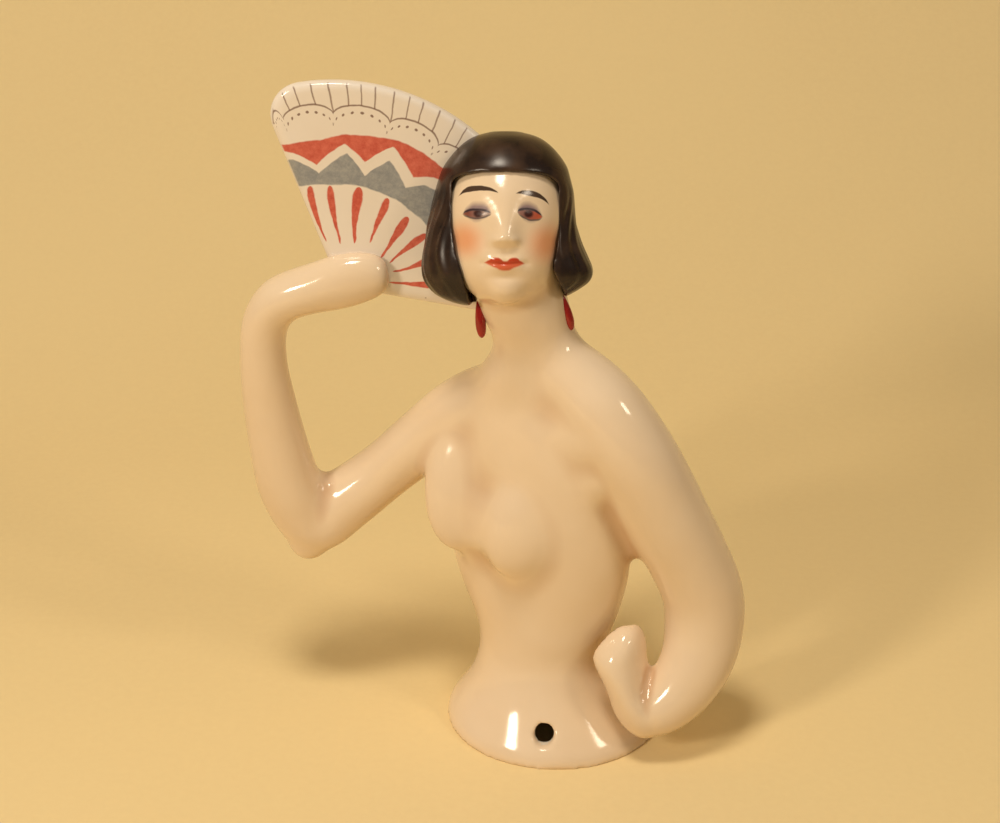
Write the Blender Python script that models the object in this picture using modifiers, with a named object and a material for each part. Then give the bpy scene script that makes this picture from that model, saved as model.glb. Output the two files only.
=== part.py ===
"""Porcelain half doll: the upper half of a bobbed lady with a fan, one hollow slip-cast piece.

Metres, +Z up, her front to -Y. The origin is on the table, under the middle of her whole width.
Left and right are the lady's own, so her right arm with the fan is on the -X side.
Her sizes are counted from the middle of the hem, and the finished piece is moved to the origin.
"""

import math

import bmesh
import bpy
import numpy as np
from mathutils import Matrix, Vector
from mathutils.bvhtree import BVHTree

# Where the middle of the hem comes to lie
HEM_MIDDLE = (0.0101, 0.0, 0.0)

# Hem and sewing holes
HEM_HALF_WIDTH = 0.0186
HEM_HALF_DEPTH = 0.0171
HEM_EDGE = 0.0015
SEW_HOLE_RADIUS = 0.00165
SEW_HOLE_HEIGHT = 0.0048
SEW_HOLE_TURN = 8.0

# Hollow left by the slip casting
WALL = 0.0024
HOLLOW_TOP = 0.0465

# Body levels from the waist up: height, centre x, centre y, half width, front and back depth, turn
FLANGE_LOW = (0.0048, -0.0006, 0.0000, 0.0158, 0.0143, 0.0137, 7.0)
FLANGE_HIGH = (0.0090, -0.0015, 0.0000, 0.0126, 0.0112, 0.0104, 9.0)
WAIST = (0.0145, -0.0020, 0.0000, 0.0109, 0.0091, 0.0086, 12.0)
BELLY = (0.0200, -0.0016, 0.0000, 0.0121, 0.0092, 0.0088, 17.0)
LOW_RIBS = (0.0265, -0.0019, 0.0002, 0.0142, 0.0093, 0.0092, 23.0)
RIBS = (0.0335, -0.0022, 0.0005, 0.0158, 0.0092, 0.0096, 29.0)
BUST = (0.0430, -0.0028, 0.0008, 0.0160, 0.0092, 0.0096, 36.0)
ARMPITS = (0.0510, -0.0036, 0.0008, 0.0156, 0.0085, 0.0092, 36.0)
SHOULDERS = (0.0575, -0.0040, 0.0004, 0.0140, 0.0076, 0.0080, 33.0)
COLLAR = (0.0625, -0.0043, -0.0002, 0.0108, 0.0069, 0.0070, 26.0)
NECK_BASE = (0.0665, -0.0042, -0.0010, 0.0084, 0.0066, 0.0066, 16.0)
NECK = (0.0715, -0.0042, -0.0013, 0.0070, 0.0063, 0.0063, 6.0)
NECK_TOP = (0.0775, -0.0050, -0.0016, 0.0067, 0.0065, 0.0064, 0.0)
NAPE = (0.0860, -0.0074, -0.0010, 0.0064, 0.0060, 0.0060, 0.0)
BODY_LEVELS = (
    FLANGE_LOW, FLANGE_HIGH, WAIST, BELLY, LOW_RIBS, RIBS, BUST, ARMPITS,
    SHOULDERS, COLLAR, NECK_BASE, NECK, NECK_TOP, NAPE,
)

# Breasts: lowest and highest point, half width and half thickness
RIGHT_BREAST = ((-0.0156, -0.0024, 0.0364), (-0.0136, 0.0002, 0.0540), 0.0062, 0.0053)
LEFT_BREAST = ((-0.0055, -0.0092, 0.0352), (-0.0006, -0.0060, 0.0545), 0.0068, 0.0052)

# Arms: centre and radius at each station, from inside the shoulder to the wrist
RIGHT_ARM = (
    ((-0.0078, 0.0015, 0.0624), 0.0048),
    ((-0.0122, 0.0036, 0.0589), 0.0058),
    ((-0.0170, 0.0056, 0.0547), 0.0060),
    ((-0.0228, 0.0072, 0.0497), 0.0057),
    ((-0.0289, 0.0082, 0.0441), 0.0055),
    ((-0.0357, 0.0082, 0.0380), 0.0055),
    ((-0.0411, 0.0074, 0.0342), 0.0053),
    ((-0.0446, 0.0066, 0.0408), 0.0055),
    ((-0.0462, 0.0058, 0.0490), 0.0050),
    ((-0.0473, 0.0048, 0.0585), 0.0044),
    ((-0.0477, 0.0040, 0.0660), 0.0039),
    ((-0.0470, 0.0033, 0.0726), 0.0038),
    ((-0.0444, 0.0026, 0.0768), 0.0039),
    ((-0.0405, 0.0020, 0.0787), 0.0040),
    ((-0.0360, 0.0016, 0.0802), 0.0040),
)
LEFT_ARM = (
    ((-0.0026, -0.0020, 0.0700), 0.0050),
    ((0.0030, -0.0045, 0.0658), 0.0060),
    ((0.0070, -0.0066, 0.0620), 0.0066),
    ((0.0105, -0.0078, 0.0568), 0.0070),
    ((0.0138, -0.0082, 0.0510), 0.0071),
    ((0.0176, -0.0078, 0.0434), 0.0070),
    ((0.0215, -0.0070, 0.0355), 0.0068),
    ((0.0243, -0.0066, 0.0285), 0.0068),
    ((0.0248, -0.0072, 0.0225), 0.0067),
    ((0.0238, -0.0090, 0.0172), 0.0062),
    ((0.0212, -0.0108, 0.0128), 0.0056),
    ((0.0178, -0.0124, 0.0098), 0.0048),
    ((0.0150, -0.0130, 0.0090), 0.0042),
)

# Right hand on the fan: centre, half sizes and turn about Y
PALM = ((-0.0342, 0.0014, 0.0806), (0.0080, 0.0035, 0.0044), -12.0)
THUMB = ((-0.0348, -0.0006, 0.0834), (0.0056, 0.0019, 0.0016), -6.0)

# Left hand cupped on the hip, level by level: height, x of its two edges, y at the one edge, in
# the middle and at the other edge, and half thickness
HIP_HAND = (
    (0.0046, 0.0126, 0.0174, -0.0120, -0.0132, -0.0122, 0.0016),
    (0.0068, 0.0108, 0.0184, -0.0120, -0.0139, -0.0126, 0.0027),
    (0.0091, 0.0095, 0.0184, -0.0118, -0.0142, -0.0120, 0.0029),
    (0.0115, 0.0088, 0.0170, -0.0116, -0.0141, -0.0109, 0.0027),
    (0.0134, 0.0081, 0.0159, -0.0114, -0.0139, -0.0098, 0.0024),
    (0.0151, 0.0073, 0.0157, -0.0111, -0.0136, -0.0089, 0.0022),
    (0.0170, 0.0063, 0.0156, -0.0107, -0.0131, -0.0082, 0.0021),
    (0.0186, 0.0059, 0.0155, -0.0103, -0.0125, -0.0077, 0.0020),
    (0.0200, 0.0066, 0.0154, -0.0099, -0.0119, -0.0075, 0.0019),
    (0.0214, 0.0079, 0.0150, -0.0093, -0.0111, -0.0074, 0.0018),
    (0.0226, 0.0092, 0.0144, -0.0088, -0.0102, -0.0075, 0.0016),
    (0.0236, 0.0106, 0.0134, -0.0084, -0.0092, -0.0078, 0.0010),
)

# Head: its centre, and how far its top leans back
HEAD_CENTRE = (-0.0085, -0.0005, 0.0915)
HEAD_LEAN = 18.0

# Face parts in the head's own frame: centre and half sizes, with -Y to the front
SKULL = ((0.0, 0.0002, 0.0008), (0.0096, 0.0100, 0.0114))
JAW = ((0.0, -0.0018, -0.0050), (0.0082, 0.0080, 0.0082))
CHIN = ((0.0, -0.0060, -0.0098), (0.0032, 0.0030, 0.0030))
NOSE_RIDGE = ((0.0, -0.0098, 0.0008), (0.0010, 0.0016, 0.0042))
NOSE_TIP = ((0.0, -0.0106, -0.0022), (0.0017, 0.0014, 0.0014))
UPPER_LIP = ((0.0, -0.0094, -0.0061), (0.0026, 0.0010, 0.0008))
LOWER_LIP = ((0.0, -0.0093, -0.0074), (0.0022, 0.0010, 0.0009))

# Bobbed hair in the head's own frame: height, half width to her right and to her left, and depth
# to the front and to the back
HAIR_LEVELS = (
    (-0.0132, 0.0030, 0.0030, 0.0030, 0.0030),
    (-0.0128, 0.0072, 0.0060, 0.0046, 0.0064),
    (-0.0116, 0.0102, 0.0090, 0.0056, 0.0088),
    (-0.0099, 0.0120, 0.0122, 0.0066, 0.0102),
    (-0.0086, 0.0126, 0.0133, 0.0072, 0.0109),
    (-0.0074, 0.0128, 0.0134, 0.0075, 0.0113),
    (-0.0056, 0.0127, 0.0127, 0.0077, 0.0116),
    (-0.0030, 0.0123, 0.0117, 0.0078, 0.0119),
    (0.0002, 0.0119, 0.0109, 0.0080, 0.0120),
    (0.0040, 0.0109, 0.0106, 0.0088, 0.0117),
    (0.0063, 0.0102, 0.0100, 0.0096, 0.0113),
    (0.0080, 0.0095, 0.0095, 0.0095, 0.0106),
    (0.0097, 0.0083, 0.0084, 0.0084, 0.0095),
    (0.0114, 0.0067, 0.0068, 0.0067, 0.0078),
    (0.0126, 0.0049, 0.0049, 0.0048, 0.0056),
    (0.0134, 0.0020, 0.0020, 0.0020, 0.0022),
)

# Opening of the hair for the face: the fringe's edge as x and height, then at each height the
# edge at her right and at her left cheek, and how far in front of the head's middle it ends
FRINGE_EDGE = (
    (-0.0085, 0.0054), (-0.0080, 0.0061), (-0.0066, 0.0067), (-0.0046, 0.0070), (0.0, 0.0072),
    (0.0046, 0.0069), (0.0064, 0.0065), (0.0077, 0.0057), (0.0085, 0.0046),
)
CHEEK_EDGES = (
    (-0.0140, -0.0048, 0.0074), (-0.0110, -0.0058, 0.0072), (-0.0078, -0.0064, 0.0069),
    (-0.0043, -0.0074, 0.0076), (-0.0018, -0.0078, 0.0079), (0.0010, -0.0080, 0.0080),
    (0.0080, -0.0080, 0.0080),
)
OPENING_DEPTH = 0.0005
HAIR_POINTS = 160

# Drop earrings standing proud of the neck: top, bottom, half width and half thickness
RIGHT_EARRING = ((-0.0120, -0.0030, 0.0784), (-0.0114, -0.0034, 0.0730), 0.0009, 0.0010)
LEFT_EARRING = ((0.0003, -0.0036, 0.0800), (0.0019, -0.0042, 0.0744), 0.0009, 0.0010)

# Fan: where its sticks meet, its plane, and its spread as angles from +X
FAN_PIVOT = (-0.0348, 0.0034, 0.0790)
FAN_RADIUS = 0.0334
FAN_THICKNESS = 0.0026
FAN_CORNER_RADIUS = 0.0052
FAN_LOW_ANGLE = -10.5
FAN_HIGH_ANGLE = 109.5

# Casting and glaze: how closely the forms are fused, and the radius their joins are filled to, on
# the chest and shoulders and everywhere else
FUSE_STEP = 0.00045
CHEST_FILLET = 0.0026
JOIN_FILLET = 0.0011
SHOULDER_STATIONS = 4
GLAZE_ROUNDS = 10
FACE_COUNT = 9400
SHARP_ANGLE = 50.0
RING_POINTS = 40
STEPS_PER_LEVEL = 4

# Glazes: name, colour and roughness
SKIN_GLAZE = ("skin_glaze", (0.83, 0.66, 0.48), 0.12)
HAIR_GLAZE = ("hair_glaze", (0.030, 0.020, 0.022), 0.12)
FAN_GLAZE = ("fan_glaze", (0.84, 0.74, 0.62), 0.12)
EARRING_GLAZE = ("earring_glaze", (0.50, 0.030, 0.020), 0.12)


def curve_through(rows, steps):
    """Rows of numbers joined by a Catmull-Rom curve, with so many steps between each two."""
    padded = [rows[0], *rows, rows[-1]]
    found = []
    for first, start, end, last in zip(padded, padded[1:], padded[2:], padded[3:]):
        for step in range(steps):
            t = step / steps
            found.append([
                b + 0.5 * t * (c - a + t * (2 * a - 5 * b + 4 * c - d + t * (3 * (b - c) + d - a)))
                for a, b, c, d in zip(first, start, end, last)
            ])
    return [*found, list(rows[-1])]


def new_object(name, mesh, collection):
    """An object that holds this mesh, in this collection."""
    made = bpy.data.objects.new(name, mesh)
    collection.objects.link(made)
    return made


def loft(name, rings, collection):
    """A closed form through rings of as many points each, the first at the bottom."""
    count = len(rings[0])
    points = [point for ring in rings for point in ring]
    faces = [
        (row + i, row + (i + 1) % count, row + count + (i + 1) % count, row + count + i)
        for row in range(0, (len(rings) - 1) * count, count)
        for i in range(count)
    ]
    faces.append(tuple(reversed(range(count))))
    faces.append(tuple(range(len(points) - count, len(points))))
    mesh = bpy.data.meshes.new(name)
    mesh.from_pydata(points, [], faces)
    mesh.update()
    return new_object(name, mesh, collection)


def body_ring(level, inset=0.0):
    """One level of the body: an oval with its own front and back depth, turned towards her right."""
    height, centre_x, centre_y, half_width, front, back, turn = level
    turned = Matrix.Rotation(-math.radians(turn), 3, "Z")
    ring = []
    for i in range(RING_POINTS):
        angle = math.tau * i / RING_POINTS
        depth = back if math.sin(angle) > 0 else front
        local = Vector(((half_width - inset) * math.cos(angle), (depth - inset) * math.sin(angle), 0))
        ring.append(turned @ local + Vector((centre_x, centre_y, height)))
    return ring


def body(collection):
    """The hem, flange, torso and neck as one loft. It starts below the table, where it is cut off."""
    hem = (0.0, 0.0, HEM_HALF_WIDTH, HEM_HALF_DEPTH, HEM_HALF_DEPTH, FLANGE_LOW[-1])
    rings = [body_ring((-HEM_EDGE, *hem)), body_ring((HEM_EDGE, *hem))]
    rings += [body_ring(level) for level in curve_through(BODY_LEVELS, STEPS_PER_LEVEL)]
    return loft("body_form", rings, collection)


def hollow(collection):
    """The inside left when the slip is poured out, one wall in from the body, up to the bust."""
    hem = (0.0, 0.0, HEM_HALF_WIDTH, HEM_HALF_DEPTH, HEM_HALF_DEPTH, FLANGE_LOW[-1])
    levels = [level for level in curve_through(BODY_LEVELS, STEPS_PER_LEVEL) if level[0] < HOLLOW_TOP]
    rings = [body_ring((-2 * HEM_EDGE, *hem), WALL), body_ring((HEM_EDGE - WALL / 4, *hem), WALL)]
    rings += [body_ring(level, WALL) for level in levels]
    for share in (0.8, 0.5, 0.2):
        height = HOLLOW_TOP + (1 - share) * WALL
        top = levels[-1]
        shrunk = (height, top[1], top[2], top[3] * share, top[4] * share, top[5] * share, top[6])
        rings.append(body_ring(shrunk, WALL * share))
    return loft("hollow_cutter", rings, collection)


def mesh_of_curve(made, collection):
    """A curve object turned to a mesh object in its place, its caps welded."""
    graph = bpy.context.evaluated_depsgraph_get()
    mesh = bpy.data.meshes.new_from_object(made.evaluated_get(graph))
    shape = bmesh.new()
    shape.from_mesh(mesh)
    bmesh.ops.remove_doubles(shape, verts=shape.verts, dist=1e-6)
    bmesh.ops.recalc_face_normals(shape, faces=shape.faces)
    shape.to_mesh(mesh)
    shape.free()
    mesh.transform(made.matrix_world)
    name = made.name
    bpy.data.objects.remove(made)
    return new_object(name, mesh, collection)


def limb(name, stations, collection):
    """A round tube along the stations, as thick at each as its radius says."""
    rows = curve_through([(*centre, radius) for centre, radius in stations], STEPS_PER_LEVEL)
    curve = bpy.data.curves.new(name, "CURVE")
    curve.dimensions = "3D"
    curve.bevel_depth = 1.0
    curve.bevel_resolution = 6
    curve.use_fill_caps = True
    spline = curve.splines.new("POLY")
    spline.points.add(len(rows) - 1)
    for point, (x, y, z, radius) in zip(spline.points, rows):
        point.co = (x, y, z, 1.0)
        point.radius = radius
    made = new_object(name, curve, collection)
    bpy.context.view_layer.update()
    return mesh_of_curve(made, collection)


def ellipsoid(name, placed, half_sizes, collection):
    """A ball stretched to these half sizes and put where the matrix says."""
    shape = bmesh.new()
    bmesh.ops.create_uvsphere(shape, u_segments=32, v_segments=20, radius=1.0)
    stretch = Matrix.Diagonal((*half_sizes, 1.0))
    bmesh.ops.transform(shape, matrix=placed @ stretch, verts=shape.verts)
    mesh = bpy.data.meshes.new(name)
    shape.to_mesh(mesh)
    shape.free()
    return new_object(name, mesh, collection)


def head_matrix():
    """The head's own frame: its centre, leaning back."""
    return Matrix.Translation(HEAD_CENTRE) @ Matrix.Rotation(-math.radians(HEAD_LEAN), 4, "X")


def head(collection):
    """The rounded forms of the face, from skull to lips."""
    parts = (
        ("skull_form", SKULL), ("jaw_form", JAW), ("chin_form", CHIN),
        ("nose_ridge_form", NOSE_RIDGE), ("nose_tip_form", NOSE_TIP),
        ("upper_lip_form", UPPER_LIP), ("lower_lip_form", LOWER_LIP),
    )
    return [
        ellipsoid(name, head_matrix() @ Matrix.Translation(centre), half_sizes, collection)
        for name, (centre, half_sizes) in parts
    ]


def hair(collection):
    """The bob: ovals, pushed back inside the head wherever the face shows between the cheek edges
    and below the fringe."""
    frame = head_matrix()
    cheeks, fringe = np.array(CHEEK_EDGES), np.array(FRINGE_EDGE)
    rings = []
    for height, right, left, front, back in curve_through(HAIR_LEVELS, 2 * STEPS_PER_LEVEL):
        right_edge, left_edge = (np.interp(height, cheeks[:, 0], cheeks[:, side]) for side in (1, 2))
        ring = []
        for i in range(HAIR_POINTS):
            angle = math.tau * i / HAIR_POINTS
            x = (left if math.cos(angle) > 0 else right) * math.cos(angle)
            y = (back if math.sin(angle) > 0 else front) * math.sin(angle)
            if right_edge < x < left_edge and height < np.interp(x, fringe[:, 0], fringe[:, 1]):
                y = max(y, -OPENING_DEPTH)
            ring.append(frame @ Vector((x, y, height)))
        rings.append(ring)
    return loft("hair_form", rings, collection)


def between(name, ends, collection):
    """An ellipsoid from one end to the other, its width across the view from the front."""
    start, end, half_width, half_thickness = Vector(ends[0]), Vector(ends[1]), ends[2], ends[3]
    along = (end - start).normalized()
    thick = along.cross(Vector((1, 0, 0))).normalized()
    wide = thick.cross(along)
    turned = Matrix((wide, thick, along)).transposed().to_4x4()
    placed = Matrix.Translation((start + end) / 2) @ turned
    return ellipsoid(name, placed, (half_width, half_thickness, (end - start).length / 2), collection)


def cupped_hand(collection):
    """The hand on the hip: level slices of a bowed slab, rounded at both edges."""
    rings = []
    for height, start, end, y_start, y_middle, y_end, thick in curve_through(HIP_HAND, STEPS_PER_LEVEL):
        ring = []
        for i in range(RING_POINTS):
            angle = math.tau * i / RING_POINTS
            across = math.cos(angle)
            bow = (y_end - y_start) / 2 * across + ((y_start + y_end) / 2 - y_middle) * across ** 2
            x = (start + end) / 2 + (end - start) / 2 * across
            ring.append(Vector((x, y_middle + bow + thick * math.sin(angle), height)))
        rings.append(ring)
    return loft("hip_hand_form", rings, collection)


def hands(collection):
    """The palm and thumb that hold the fan, and the cupped hand on the hip."""
    made = []
    for name, (centre, half_sizes, turn) in (("palm_form", PALM), ("thumb_form", THUMB)):
        placed = Matrix.Translation(centre) @ Matrix.Rotation(math.radians(turn), 4, "Y")
        made.append(ellipsoid(name, placed, half_sizes, collection))
    return [*made, cupped_hand(collection)]


def fan(collection):
    """The open fan: a flat sector with rounded corners, standing across the view behind the head."""
    low, high = math.radians(FAN_LOW_ANGLE), math.radians(FAN_HIGH_ANGLE)
    reach = FAN_RADIUS - FAN_CORNER_RADIUS
    lean = math.asin(FAN_CORNER_RADIUS / reach)
    outline = [(0.0, 0.0)]
    for corner, start in ((low + lean, low - math.pi / 2), (high - lean, high - lean)):
        middle = Vector((math.cos(corner), math.sin(corner))) * reach
        sweep = math.pi / 2 + lean
        for i in range(9):
            angle = start + sweep * i / 8
            outline.append(tuple(middle + FAN_CORNER_RADIUS * Vector((math.cos(angle), math.sin(angle)))))
        if corner == low + lean:
            for i in range(1, 32):
                angle = low + lean + (high - low - 2 * lean) * i / 32
                outline.append((FAN_RADIUS * math.cos(angle), FAN_RADIUS * math.sin(angle)))
    curve = bpy.data.curves.new("fan_form", "CURVE")
    curve.dimensions = "2D"
    curve.fill_mode = "BOTH"
    curve.extrude = FAN_THICKNESS / 2
    spline = curve.splines.new("POLY")
    spline.points.add(len(outline) - 1)
    for point, (x, y) in zip(spline.points, outline):
        point.co = (x, y, 0.0, 1.0)
    spline.use_cyclic_u = True
    made = new_object("fan_form", curve, collection)
    made.matrix_world = Matrix.Translation(FAN_PIVOT) @ Matrix.Rotation(math.pi / 2, 4, "X")
    bpy.context.view_layer.update()
    return mesh_of_curve(made, collection)


def evaluated_mesh(made):
    """The mesh of an object with its modifiers applied."""
    bpy.context.view_layer.update()
    graph = bpy.context.evaluated_depsgraph_get()
    return bpy.data.meshes.new_from_object(made.evaluated_get(graph))


def joined(forms):
    """The meshes of all the forms together."""
    shape = bmesh.new()
    for form in forms:
        shape.from_mesh(form.data)
    return shape


def fused(name, forms, fillet, collection):
    """All the forms as one skin. Swelling and shrinking it fills the joins as slip and glaze do."""
    shape = joined(forms)
    mesh = bpy.data.meshes.new(name)
    shape.to_mesh(mesh)
    shape.free()
    made = new_object(name, mesh, collection)
    for label, grow in (("swell", fillet), ("shrink", -fillet)):
        fuse = made.modifiers.new(label + "_fuse", "REMESH")
        fuse.mode = "VOXEL"
        fuse.voxel_size = FUSE_STEP
        push = made.modifiers.new(label, "DISPLACE")
        push.strength = grow
        push.mid_level = 0.0
    glaze = made.modifiers.new("glaze", "SMOOTH")
    glaze.iterations = GLAZE_ROUNDS
    made.data = evaluated_mesh(made)
    made.modifiers.clear()
    return made


def cut_open(made, cuts):
    """Thin the skin out and make the cuts."""
    thin_out = made.modifiers.new("thin_out", "DECIMATE")
    thin_out.ratio = FACE_COUNT / (2 * len(made.data.polygons))
    for cutter in cuts:
        cut = made.modifiers.new(cutter.name, "BOOLEAN")
        cut.operation = "DIFFERENCE"
        cut.object = cutter
    made.data = evaluated_mesh(made)
    made.modifiers.clear()


def paint(made, zones):
    """Give each face the glaze of the form it lies nearest, shaded smooth up to the sharp edges."""
    made.data.materials.clear()
    trees = []
    for glaze, forms in zones:
        made.data.materials.append(material_of(*glaze))
        shape = joined(forms)
        trees.append(BVHTree.FromBMesh(shape))
        shape.free()
    for face in made.data.polygons:
        distances = [tree.find_nearest(face.center)[3] for tree in trees]
        face.material_index = distances.index(min(distances))
    made.data.shade_smooth()
    made.data.set_sharp_from_angle(angle=math.radians(SHARP_ANGLE))


def cutters(collection):
    """What is cut from the casting: everything below the table, the hollow and the sewing holes."""
    shape = bmesh.new()
    bmesh.ops.create_cube(shape, size=1.0)
    depth = 4 * HEM_EDGE
    size = Matrix.Diagonal((4 * HEM_HALF_WIDTH, 4 * HEM_HALF_WIDTH, depth, 1.0))
    bmesh.ops.transform(shape, matrix=Matrix.Translation((0, 0, -depth / 2)) @ size, verts=shape.verts)
    mesh = bpy.data.meshes.new("table_cutter")
    shape.to_mesh(mesh)
    shape.free()
    table = new_object("table_cutter", mesh, collection)

    shape = bmesh.new()
    bmesh.ops.create_cone(
        shape, cap_ends=True, segments=24,
        radius1=SEW_HOLE_RADIUS, radius2=SEW_HOLE_RADIUS, depth=3 * HEM_HALF_DEPTH,
    )
    placed = (
        Matrix.Translation((0, 0, SEW_HOLE_HEIGHT))
        @ Matrix.Rotation(-math.radians(SEW_HOLE_TURN), 4, "Z")
        @ Matrix.Rotation(math.pi / 2, 4, "X")
    )
    bmesh.ops.transform(shape, matrix=placed, verts=shape.verts)
    mesh = bpy.data.meshes.new("sew_hole_cutter")
    shape.to_mesh(mesh)
    shape.free()
    holes = new_object("sew_hole_cutter", mesh, collection)
    return [table, hollow(collection), holes]


def material_of(name, colour, roughness):
    """A glaze: its colour and how sharp its reflections are."""
    made = bpy.data.materials.new(name)
    made.use_nodes = True
    shader = made.node_tree.nodes["Principled BSDF"]
    shader.inputs["Base Color"].default_value = (*colour, 1.0)
    shader.inputs["Roughness"].default_value = roughness
    shader.inputs["Metallic"].default_value = 0.0
    return made


def main():
    for old in list(bpy.data.objects):
        bpy.data.objects.remove(old)
    parts = bpy.data.collections.new("porcelain_half_doll")
    helpers = bpy.data.collections.new("forms_and_cutters")
    for collection in (parts, helpers):
        bpy.context.scene.collection.children.link(collection)

    chest = [
        body(helpers),
        limb("right_shoulder_form", RIGHT_ARM[:SHOULDER_STATIONS], helpers),
        limb("left_shoulder_form", LEFT_ARM[:SHOULDER_STATIONS], helpers),
        between("right_breast_form", RIGHT_BREAST, helpers),
        between("left_breast_form", LEFT_BREAST, helpers),
    ]
    skin = [
        fused("chest_form", chest, CHEST_FILLET, helpers),
        limb("right_arm_form", RIGHT_ARM, helpers),
        limb("left_arm_form", LEFT_ARM, helpers),
        *hands(helpers),
        *head(helpers),
    ]
    bob = [hair(helpers)]
    open_fan = [fan(helpers)]
    drops = [
        between("right_drop_form", RIGHT_EARRING, helpers),
        between("left_drop_form", LEFT_EARRING, helpers),
    ]
    doll = fused("half_doll", [*skin, *bob, *open_fan, *drops], JOIN_FILLET, parts)
    cut_open(doll, cutters(helpers))
    paint(doll, ((SKIN_GLAZE, skin), (HAIR_GLAZE, bob), (FAN_GLAZE, open_fan), (EARRING_GLAZE, drops)))
    for made in (doll, *helpers.objects):
        made.data.transform(Matrix.Translation(HEM_MIDDLE))
    for helper in helpers.objects:
        helper.hide_render = True
        helper.display_type = "WIRE"


main()
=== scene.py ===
import math

import bmesh
import bpy
import numpy as np
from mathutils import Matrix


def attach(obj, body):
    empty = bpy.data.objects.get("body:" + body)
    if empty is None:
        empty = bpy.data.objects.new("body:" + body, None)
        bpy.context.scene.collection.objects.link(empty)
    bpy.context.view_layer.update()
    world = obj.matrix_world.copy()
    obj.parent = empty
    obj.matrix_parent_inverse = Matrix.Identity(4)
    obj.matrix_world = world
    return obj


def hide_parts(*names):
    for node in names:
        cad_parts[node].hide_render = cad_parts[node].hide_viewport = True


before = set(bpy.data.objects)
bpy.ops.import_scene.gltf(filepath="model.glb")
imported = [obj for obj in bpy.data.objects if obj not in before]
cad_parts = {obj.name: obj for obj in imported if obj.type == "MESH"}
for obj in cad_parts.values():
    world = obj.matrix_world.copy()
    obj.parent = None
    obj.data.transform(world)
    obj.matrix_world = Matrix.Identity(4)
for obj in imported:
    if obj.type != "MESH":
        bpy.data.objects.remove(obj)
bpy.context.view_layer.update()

# Glazed porcelain half doll: a bobbed lady, bare to the waist, who holds an open fan behind her head.
# Sizes are millimetres, counted from the middle of the hem, with +Z up and her front to -Y.
# Left and right are the lady's own.


# The trunk: hem, flared flange, waist, chest and neck.
# On the real doll this is one hollow shell of slip-cast porcelain. The hem is oval, and the body
# turns more and more to her right on the way up to the shoulders.

HEM_MIDDLE = (10.1, 0.0, 0.0)
HEM = (18.6, 17.1, 7.0)
HEM_EDGE = 1.5
TRUNK_LEVELS = (
    # height, centre x, centre y, half width, front depth, back depth, turn in degrees
    (4.8, -0.6, 0.0, 15.8, 14.3, 13.7, 7),
    (9.0, -1.5, 0.0, 12.6, 11.2, 10.4, 9),
    (14.5, -2.0, 0.0, 10.9, 9.1, 8.6, 12),
    (20.0, -1.6, 0.0, 12.1, 9.2, 8.8, 17),
    (26.5, -2.2, 0.2, 14.6, 9.3, 9.2, 23),
    (33.5, -2.7, 0.5, 16.4, 9.4, 9.6, 29),
    (43.0, -2.8, 0.8, 16.0, 9.9, 9.6, 36),
    (51.0, -3.6, 0.8, 15.6, 9.8, 9.2, 36),
    (57.5, -4.0, 0.4, 14.0, 8.6, 8.0, 33),
    (62.5, -4.3, -0.2, 10.8, 7.2, 7.0, 26),
    (66.5, -4.2, -1.0, 8.4, 6.6, 6.6, 16),
    (71.5, -3.7, -1.3, 6.5, 6.3, 6.3, 6),
    (77.5, -5.5, -1.6, 7.3, 6.6, 6.5, 0),
    (86.0, -7.8, -1.0, 7.3, 6.4, 6.4, 0),
)


def curve_through(rows, steps):
    """Catmull-Rom curve: between two rows, a cubic blend of the two before and the two after."""
    rows = np.asarray(rows, float)
    padded = np.vstack((rows[:1], rows, rows[-1:]))
    a, b, c, d = (padded[i:len(padded) - 3 + i, None] for i in range(4))
    t = (np.arange(steps) / steps)[None, :, None]
    spans = b + 0.5 * t * (c - a + t * (2 * a - 5 * b + 4 * c - d + t * (3 * (b - c) + d - a)))
    return np.vstack((spans.reshape(-1, rows.shape[1]), rows[-1:]))


def circle(count):
    """The cosines and the sines of this many equal steps once around."""
    angle = np.linspace(0, math.tau, count, endpoint=False)
    return np.cos(angle), np.sin(angle)


def oval_rings(levels, inset=0.0, around=96):
    """Ovals x = half width cos a, y = front or back depth sin a, turned about Z and set at their height."""
    height, centre_x, centre_y, half_width, front, back, turn = np.asarray(levels, float).T[:, :, None]
    across, deep = circle(around)
    x = (half_width - inset) * across
    y = (np.where(deep > 0, back, front) - inset) * deep
    cos, sin = np.cos(np.radians(-turn)), np.sin(np.radians(-turn))
    return np.stack((centre_x + cos * x - sin * y, centre_y + sin * x + cos * y, height + 0 * x), axis=-1)


def new_piece(name, points, faces):
    """An object whose mesh holds these points, given in millimetres from the middle of the hem."""
    mesh = bpy.data.meshes.new(name)
    mesh.from_pydata((np.asarray(points) + HEM_MIDDLE) / 1000, [], faces)
    mesh.update()
    mesh.shade_smooth()
    made = bpy.data.objects.new(name, mesh)
    bpy.context.scene.collection.objects.link(made)
    return made


def closed_skin(name, rings):
    """A grid of rings joined by four-sided faces, each end ring closed to its own middle."""
    rows, around = rings.shape[:2]
    here = np.arange(rows * around).reshape(rows, around)
    beside = np.roll(here, -1, axis=1)
    quads = np.stack((here[:-1], beside[:-1], beside[1:], here[1:]), axis=-1).reshape(-1, 4)
    low, high = rows * around, rows * around + 1
    first = np.stack((beside[0], here[0], np.full(around, low)), axis=-1)
    last = np.stack((here[-1], beside[-1], np.full(around, high)), axis=-1)
    points = np.vstack((rings.reshape(-1, 3), rings[0].mean(axis=0), rings[-1].mean(axis=0)))
    return new_piece(name, points, quads.tolist() + first.tolist() + last.tolist())


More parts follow.
